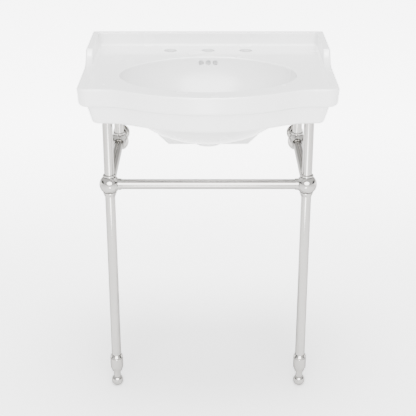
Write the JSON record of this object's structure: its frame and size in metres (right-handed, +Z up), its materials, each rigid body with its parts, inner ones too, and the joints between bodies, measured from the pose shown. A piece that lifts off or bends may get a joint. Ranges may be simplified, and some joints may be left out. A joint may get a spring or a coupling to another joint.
{
  "type": "console sink with legs",
  "caption": "White china console basin with an ogee front, stepped bands, side walls and backsplash, on polished metal legs with ball fittings and a towel rail.",
  "frame": {"origin": "on the floor, under the middle of the width and of the depth", "axes": "+X to the right of someone facing the front, +Y towards the wall, +Z up"},
  "size_m": [0.6344, 0.5137, 0.885],
  "materials": {
    "china": "gloss white glaze",
    "plated": "polished nickel plate, slightly warm",
    "rubber": "matt black"
  },
  "bodies": {
    "console": {"basin": "china", "cross_rail": "plated", "foot_socket_left": "plated", "front_leg_left": "plated", "cup_collar_left": "plated", "front_ball_left": "plated", "front_bead_left": "plated", "front_cushion_left": "rubber", "side_rail_left": "plated", "rear_ball_left": "plated", "rear_bead_left": "plated", "rear_upright_left": "plated", "rear_cushion_left": "rubber", "wall_flange_left": "plated", "foot_socket_right": "plated", "front_leg_right": "plated", "cup_collar_right": "plated", "front_ball_right": "plated", "front_bead_right": "plated", "front_cushion_right": "rubber", "side_rail_right": "plated", "rear_ball_right": "plated", "rear_bead_right": "plated", "rear_upright_right": "plated", "rear_cushion_right": "rubber", "wall_flange_right": "plated"},
    "foot_left": {"foot_left": "plated"},
    "foot_right": {"foot_right": "plated"}
  },
  "joints": [
    {"name": "foot_left_level", "type": "slide", "parent": "console", "child": "foot_left", "axis": [0, 0, 1], "range_m": [-0.01, 0.012]},
    {"name": "foot_right_level", "type": "slide", "parent": "console", "child": "foot_right", "axis": [0, 0, 1], "range_m": [-0.01, 0.012]}
  ]
}
